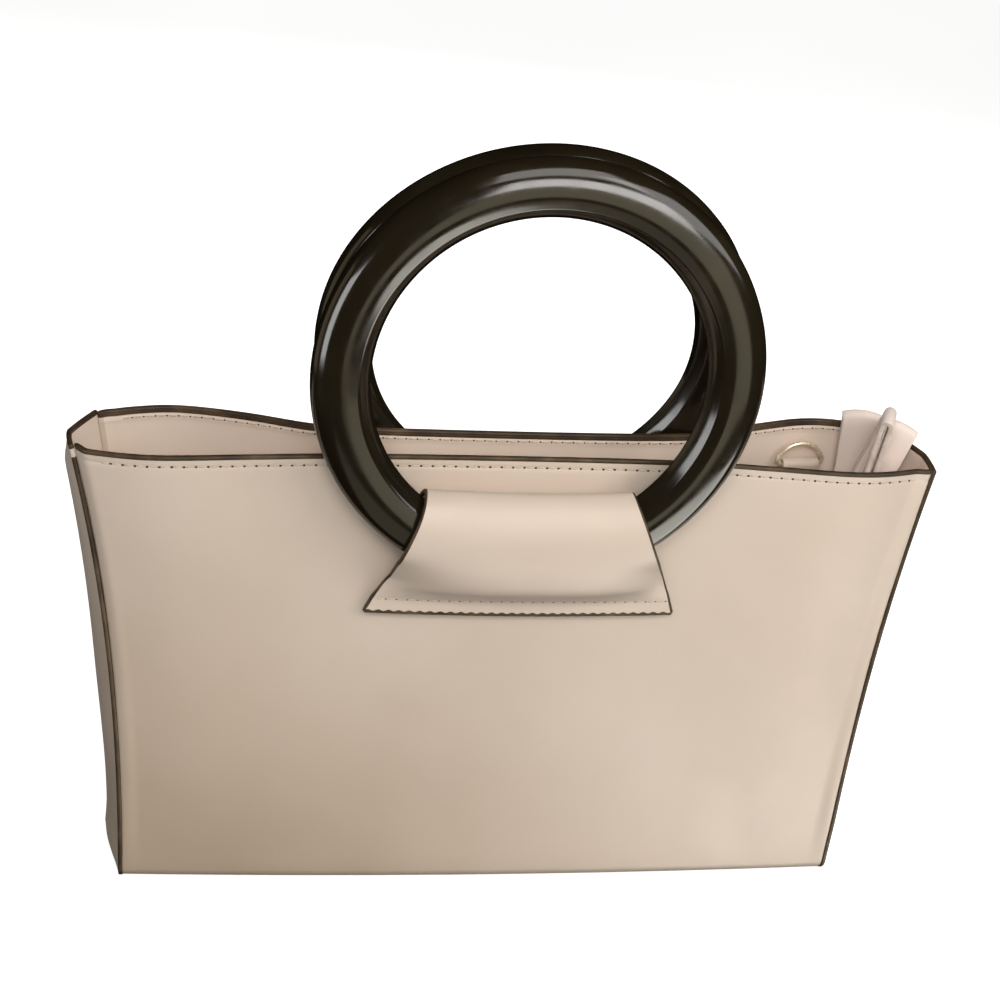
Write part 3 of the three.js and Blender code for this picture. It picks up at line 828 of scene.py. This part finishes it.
def strap_path():
    """The strap's middle line through its folds, with the way across it at each place."""
    lowest = SHELL["leather"] + PLAY + STRAP["leather"] / 2
    half_fold = (STRAP["leather"] + STRAP["fold_gap"]) / 2
    arc = [math.radians(degrees) for degrees in STRAP_ARC]
    places = []
    wides = []
    for number, fold in enumerate(STRAP_FOLDS):
        foot = Vector((STRAP["foot_x"], fold["foot_y"], lowest + STRAP["bend"]))
        if number:
            start = STRAP_FOLDS[number - 1]["foot_y"] - STRAP["foot_half"]
            end = fold["foot_y"] + STRAP["foot_half"]
            for angle in arc:
                y = (start + end) / 2 + (start - end) / 2 * math.cos(angle)
                places.append(Vector((foot.x, y, foot.z - STRAP["bend"] * math.sin(angle))))
                wides.append(Vector((1, 0, 0)))
        stations = strap_stations(fold, foot, half_fold)
        head, wide, aside, up, off = stations[-1]
        places += [centre + aside * off for centre, _, aside, _, off in stations]
        places += [head + aside * off * math.cos(angle) + up * off * math.sin(angle) for angle in arc]
        places += [centre - aside * off for centre, _, aside, _, off in reversed(stations)]
        ways = [station[1] for station in stations]
        wides += [*ways, *[wide] * len(arc), *reversed(ways)]
    return places, wides


def shoulder_strap():
    """One flat ribbon that runs up and down through its folds at the mouth."""
    places, wides = strap_path()
    path = flowing(places, STRAP["per_span"])
    ways = np.gradient(np.array(path), axis=0)
    share = np.linspace(0.5, -0.5, STRAP["columns"] + 1)
    rows = []
    for step, (point, way) in enumerate(zip(path, ways)):
        span = min(step // STRAP["per_span"], len(wides) - 2)
        along = Vector(way).normalized()
        wide = wides[span].lerp(wides[span + 1], step / STRAP["per_span"] - span)
        wide = (wide - along * wide.dot(along)).normalized()
        thick = wide.cross(along).normalized()
        arch = STRAP["arch"] * float(smooth((point.z - STRAP["arch_from"]) / STRAP["arch_fade"]))
        row = []
        for part_x in share:
            drop = Vector((0, 0, arch * (2 * part_x) ** 2))
            row.append(point + thick * (STRAP["leather"] / 2) + wide * (part_x * STRAP["width"]) - drop)
        rows.append(row)
    beads = (STRAP["end_bead"], STRAP["end_bead"], STRAP["side_bead"])
    finishes = [STRAP_LEATHER_PAINTED_LIGHTER, STRAP_EDGE]
    strap = leather_sheet("shoulder_strap_ribbon", np.array(rows), STRAP["leather"], beads, finishes)
    finish_piece(strap, "bag", "strap_leather", "shoulder_strap")


# Rings and wire

def ring_section():
    """The closed outline of a ring's section: place across it, and thickness to either side."""
    face, slope = (
        flowing([(out, half, 0) for out, half in zip(part["out"], part["half"])], STEPS["ring_curve"])
        for part in (RING_FACE, RING_SLOPE)
    )
    crease = Vector((RING_SLOPE["out"][0], RING_SLOPE["half"][0], 0))
    before = crease + (face[-2] - crease).normalized() * RING["crease_round"]
    after = crease + (slope[1] - crease).normalized() * RING["crease_round"]
    half = [*face[:-1], before, after, *slope[1:]]
    other = [Vector((point.x, -point.y, 0)) for point in half[1:-1]]
    return [*half, *reversed(other)]


def ring(side):
    """A ring handle: its section swept round a full circle that leans on its seat."""
    handle = HANDLES[side]
    lean = math.radians(handle["lean"])
    facing = handle["facing"]
    depth = panel_depth(side, 0, handle["seat"]) + RING["stand_off"] - RING["radius"] * math.sin(lean)
    height = handle["seat"] + RING["radius"] * math.cos(lean)
    centre = Vector((handle["across"], facing * float(depth), height))
    turned = Matrix.Rotation(facing * lean, 3, "X")
    section = ring_section()
    points = []
    faces = []
    size = len(section)
    for step in range(RING["steps"]):
        angle = 2 * math.pi * step / RING["steps"]
        for point in section:
            reach = RING["radius"] + point.x
            upright = Vector((reach * math.cos(angle), point.y, reach * math.sin(angle)))
            points.append(centre + turned @ upright)
        for place in range(size):
            after = (place + 1) % size
            this = step * size
            that = (step + 1) % RING["steps"] * size
            faces.append((this + place, that + place, that + after, this + after))
    handle_ring = mesh_object("ring_handle_" + side, points, faces, [RESIN])
    finish_piece(handle_ring, side + "_handle", "resin", "ring_" + side)


def d_ring():
    """The D-ring: round wire bent into a bar and an arch."""
    half = D_RING["half_width"] - D_RING["wire"] / 2
    rise = D_RING["rise"] - D_RING["wire"] / 2
    lean = math.radians(90 - D_RING["lean"])
    flat = [(x, 0) for x in np.linspace(-half + D_RING["corner"], half - D_RING["corner"], STEPS["bar"])]
    for turn in np.linspace(D_RING["arch_start"], math.pi - D_RING["arch_start"], STEPS["arch"]):
        flat.append((half * math.cos(turn), rise * math.sin(turn)))
    place = d_ring_frame()
    path = []
    for x, up in flat:
        path.append(place @ Vector((x, -bar_out() + up * math.cos(lean), up * math.sin(lean))))
    path = flowing([*path, path[0]], STEPS["bend"])[:-1]
    side = (place.to_3x3() @ Vector((0, -math.sin(lean), math.cos(lean)))).normalized()
    points = []
    faces = []
    size = STEPS["wire"]
    count = len(path)
    for number, point in enumerate(path):
        way = (path[(number + 1) % count] - path[number - 1]).normalized()
        out = way.cross(side).normalized()
        for corner in range(size):
            angle = 2 * math.pi * corner / size
            points.append(point + (out * math.cos(angle) + side * math.sin(angle)) * (D_RING["wire"] / 2))
        for corner in range(size):
            after = (corner + 1) % size
            this = number * size
            that = (number + 1) % count * size
            faces.append((this + corner, this + after, that + after, that + corner))
    wire = mesh_object("d_ring_wire", points, faces, [PALE_GOLD])
    finish_piece(wire, "strap_ring", "pale_gold", "d_ring")


# Stitching

def panel_line(side, across, z, inside=False):
    """Points on a panel's outer face, or on its inner face."""
    points = np.stack(np.broadcast_arrays(*panel_face(side, across, z)), -1)
    if inside:
        points[..., 1] -= HANDLES[side]["facing"] * (SHELL["leather"] + 2 * GROOVE["depth"])
    return points


def stitch_lines():
    """The rows of stitches: the piece that each is sewn on, its line, its spacing and its holes' size."""
    rim = np.linspace(*STITCH_ENDS["rim"], STEPS["rim_stitches"])
    at_rim = SHELL["height"] - STITCH["rim_drop"]
    inside = SHELL["height"] - STITCH["inside_drop"]
    share = np.linspace(*STITCH_ENDS["tab"], STEPS["tab_stitches"])
    rise = TAB["hem"] + STITCH["hem_rise"]
    front = tab_path()[len(TAB_PATH) // 2 * TAB["per_span"] :][::-1]
    out, side_out = (np.interp(rise, front[:, 2], front[:, column]) - GROOVE["depth"] for column in (0, 1))
    lines = {}
    for side in ("front", "back"):
        lines["rim_" + side] = (panel_line(side, rim, at_rim), STITCH["pitch"], 1)
        lines["inside_" + side] = (panel_line(side, rim, inside, inside=True), STITCH["pitch"], FAINT)
        hem = tab_point(HANDLES[side], share, out, side_out, np.full_like(share, rise), 0)
        lines["tab_" + side] = (hem, STITCH["tab_pitch"], FAINT)
    return lines


def stitching():
    tree = stitch_tree()
    for row, (line, pitch, hole) in stitch_lines().items():
        sizes = {
            "Pitch": pitch * MM,
            "Thread Length": THREAD["length"] / 2 * MM,
            "Thread Radius": THREAD["radius"] * MM,
            "Hole Length": THREAD["hole_length"] / 2 * hole * MM,
            "Hole Radius": THREAD["hole_radius"] * hole * MM,
        }
        finishes = {"Thread": THREAD_YARN, "Hole": NEEDLE_HOLE_SHADE}
        name = "stitches_" + row
        finish_piece(grow(name, path_mesh(name, line), tree, {**sizes, **finishes}), "bag", "leather")


# Floor, light and camera

def floor():
    half = FLOOR["half_width"]
    corners = [(x * half, y * half, -FLOOR["drop"]) for x, y in ((-1, -1), (1, -1), (1, 1), (-1, 1))]
    ground = mesh_object("floor", corners, [(0, 1, 2, 3)], [floor_material()])
    ground.visible_diffuse = False
    ground.visible_glossy = False
    ground.visible_shadow = False


def area_light(name, place, aim, size, power, colour):
    """A rectangular light, with its place, aim and size in metres and its power in watts."""
    data = bpy.data.lights.new(name, "AREA")
    data.shape = "RECTANGLE"
    data.size, data.size_y = size
    data.energy = power
    data.color = colour
    light = new_object(name, data)
    light.visible_camera = False
    light.location = place
    light.rotation_euler = (Vector(aim) - Vector(place)).to_track_quat("-Z", "Y").to_euler()
    return light


def lights():
    """An even sky, a close light from the right, two soft fills, and the glints that only polish shows."""
    world = bpy.data.worlds.new("Studio")
    world.use_nodes = True
    sky = world.node_tree.nodes["Background"]
    sky.inputs["Color"].default_value = (1, 0.99, 0.97, 1)
    sky.inputs["Strength"].default_value = 0.3
    bpy.context.scene.world = world
    world.cycles_visibility.glossy = False
    area_light("key", (0.42, -0.38, 0.5), (0.0, 0, 0.13), (0.4, 0.4), 1.95, (1, 0.98, 0.95))
    mouth = area_light("mouth", (-0.12, -0.62, 0.66), (0, 0, 0.17), (0.4, 0.3), 3.7, (1, 0.99, 0.96))
    back_fill = area_light("back_fill", (0.15, 0.8, 0.55), (0, 0, 0.12), (0.5, 0.5), 2.4, (1, 0.98, 0.95))
    for soft in (mouth, back_fill):
        soft.visible_glossy = False
    glints = [
        area_light("band", (0.24, -0.78, 0.38), (0, 0, 0.28), (0.44, 0.2), 3.2, (1, 0.98, 0.95)),
        area_light("top_sheen", (0.13, -0.5, 0.78), (0, 0, 0.28), (0.5, 0.5), 3.2, (1, 0.97, 0.92)),
        area_light("window", (0.29, -0.78, 0.1), (0, 0, 0.24), (0.54, 0.36), 0.9, (1, 0.92, 0.66)),
        area_light("glint", (-0.57, -0.35, 0.23), (-0.07, 0, 0.25), (0.3, 0.34), 2.4, (1, 1, 1)),
        area_light("low_sheen", (0.25, -0.27, -0.13), (0.05, -0.03, 0.18), (0.3, 0.25), 1.5, (1, 0.97, 0.88)),
        area_light("floor_sheen", (0.06, -0.42, -0.22), (0, -0.03, 0.18), (0.6, 0.35), 0.35, (1, 0.93, 0.7)),
        area_light("left_fill", (-0.6, 0.08, 0.22), (0, 0, 0.22), (0.3, 0.4), 0.26, (1, 0.8, 0.55)),
    ]
    for glint in glints:
        glint.visible_diffuse = False


def camera():
    azimuth, elevation, roll = (math.radians(CAMERA[key]) for key in ("azimuth", "elevation", "roll"))
    back = Vector((math.sin(azimuth), -math.cos(azimuth), 0)) * math.cos(elevation)
    back.z = math.sin(elevation)
    level = Vector((math.cos(azimuth), math.sin(azimuth), 0))
    upright = back.cross(level)
    right = level * math.cos(roll) + upright * math.sin(roll)
    up = upright * math.cos(roll) - level * math.sin(roll)
    data = bpy.data.cameras.new("camera")
    data.lens = data.sensor_width * FOCAL_SHARE
    data.clip_start = 0.01
    eye = new_object("camera", data)
    turn = Matrix((right, up, back)).transposed().to_4x4()
    eye.matrix_world = Matrix.Translation((Vector(CAMERA["target"]) + back * CAMERA["distance"]) * MM) @ turn
    bpy.context.scene.camera = eye
    bpy.context.scene.view_settings.view_transform = "Standard"


camera()
body_wrap()
gusset("left", -1)
gusset("right", 1)
for side in ("front", "back"):
    handle_tab(side)
    ring(side)
d_ring_loop()
d_ring()
shoulder_strap()
stitching()
floor()
lights()
